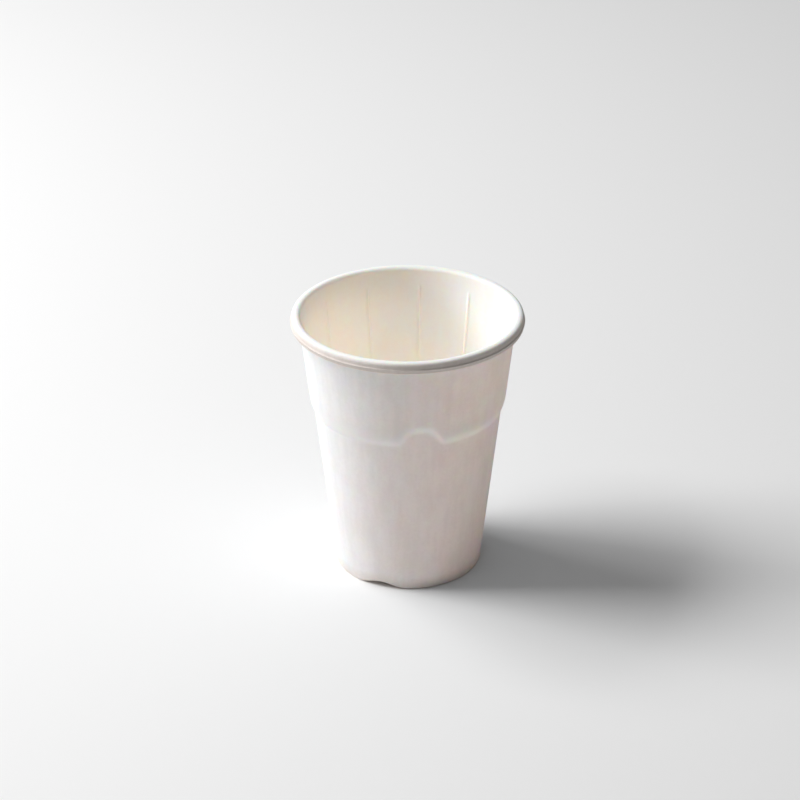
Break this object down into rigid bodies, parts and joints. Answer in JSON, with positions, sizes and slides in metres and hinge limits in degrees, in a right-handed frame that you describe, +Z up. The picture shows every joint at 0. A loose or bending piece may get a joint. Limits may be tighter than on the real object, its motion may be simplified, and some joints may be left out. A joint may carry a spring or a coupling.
{
  "type": "disposable coffee cup",
  "caption": "Tapered moulded fibre coffee cup with a rolled rim, a wavy step round the grip band, ribs inside and arches in its foot.",
  "frame": {"origin": "on the surface that the cup stands on, under the middle of its mouth", "axes": "+Z up along the cup's axis, -Y the front, where a wave of the step crests"},
  "size_m": [0.08, 0.08, 0.0943],
  "materials": {
    "fibre": "matt pressed plant fibre, warm white"
  },
  "bodies": {
    "root": {"cup": "fibre"}
  },
  "joints": []
}
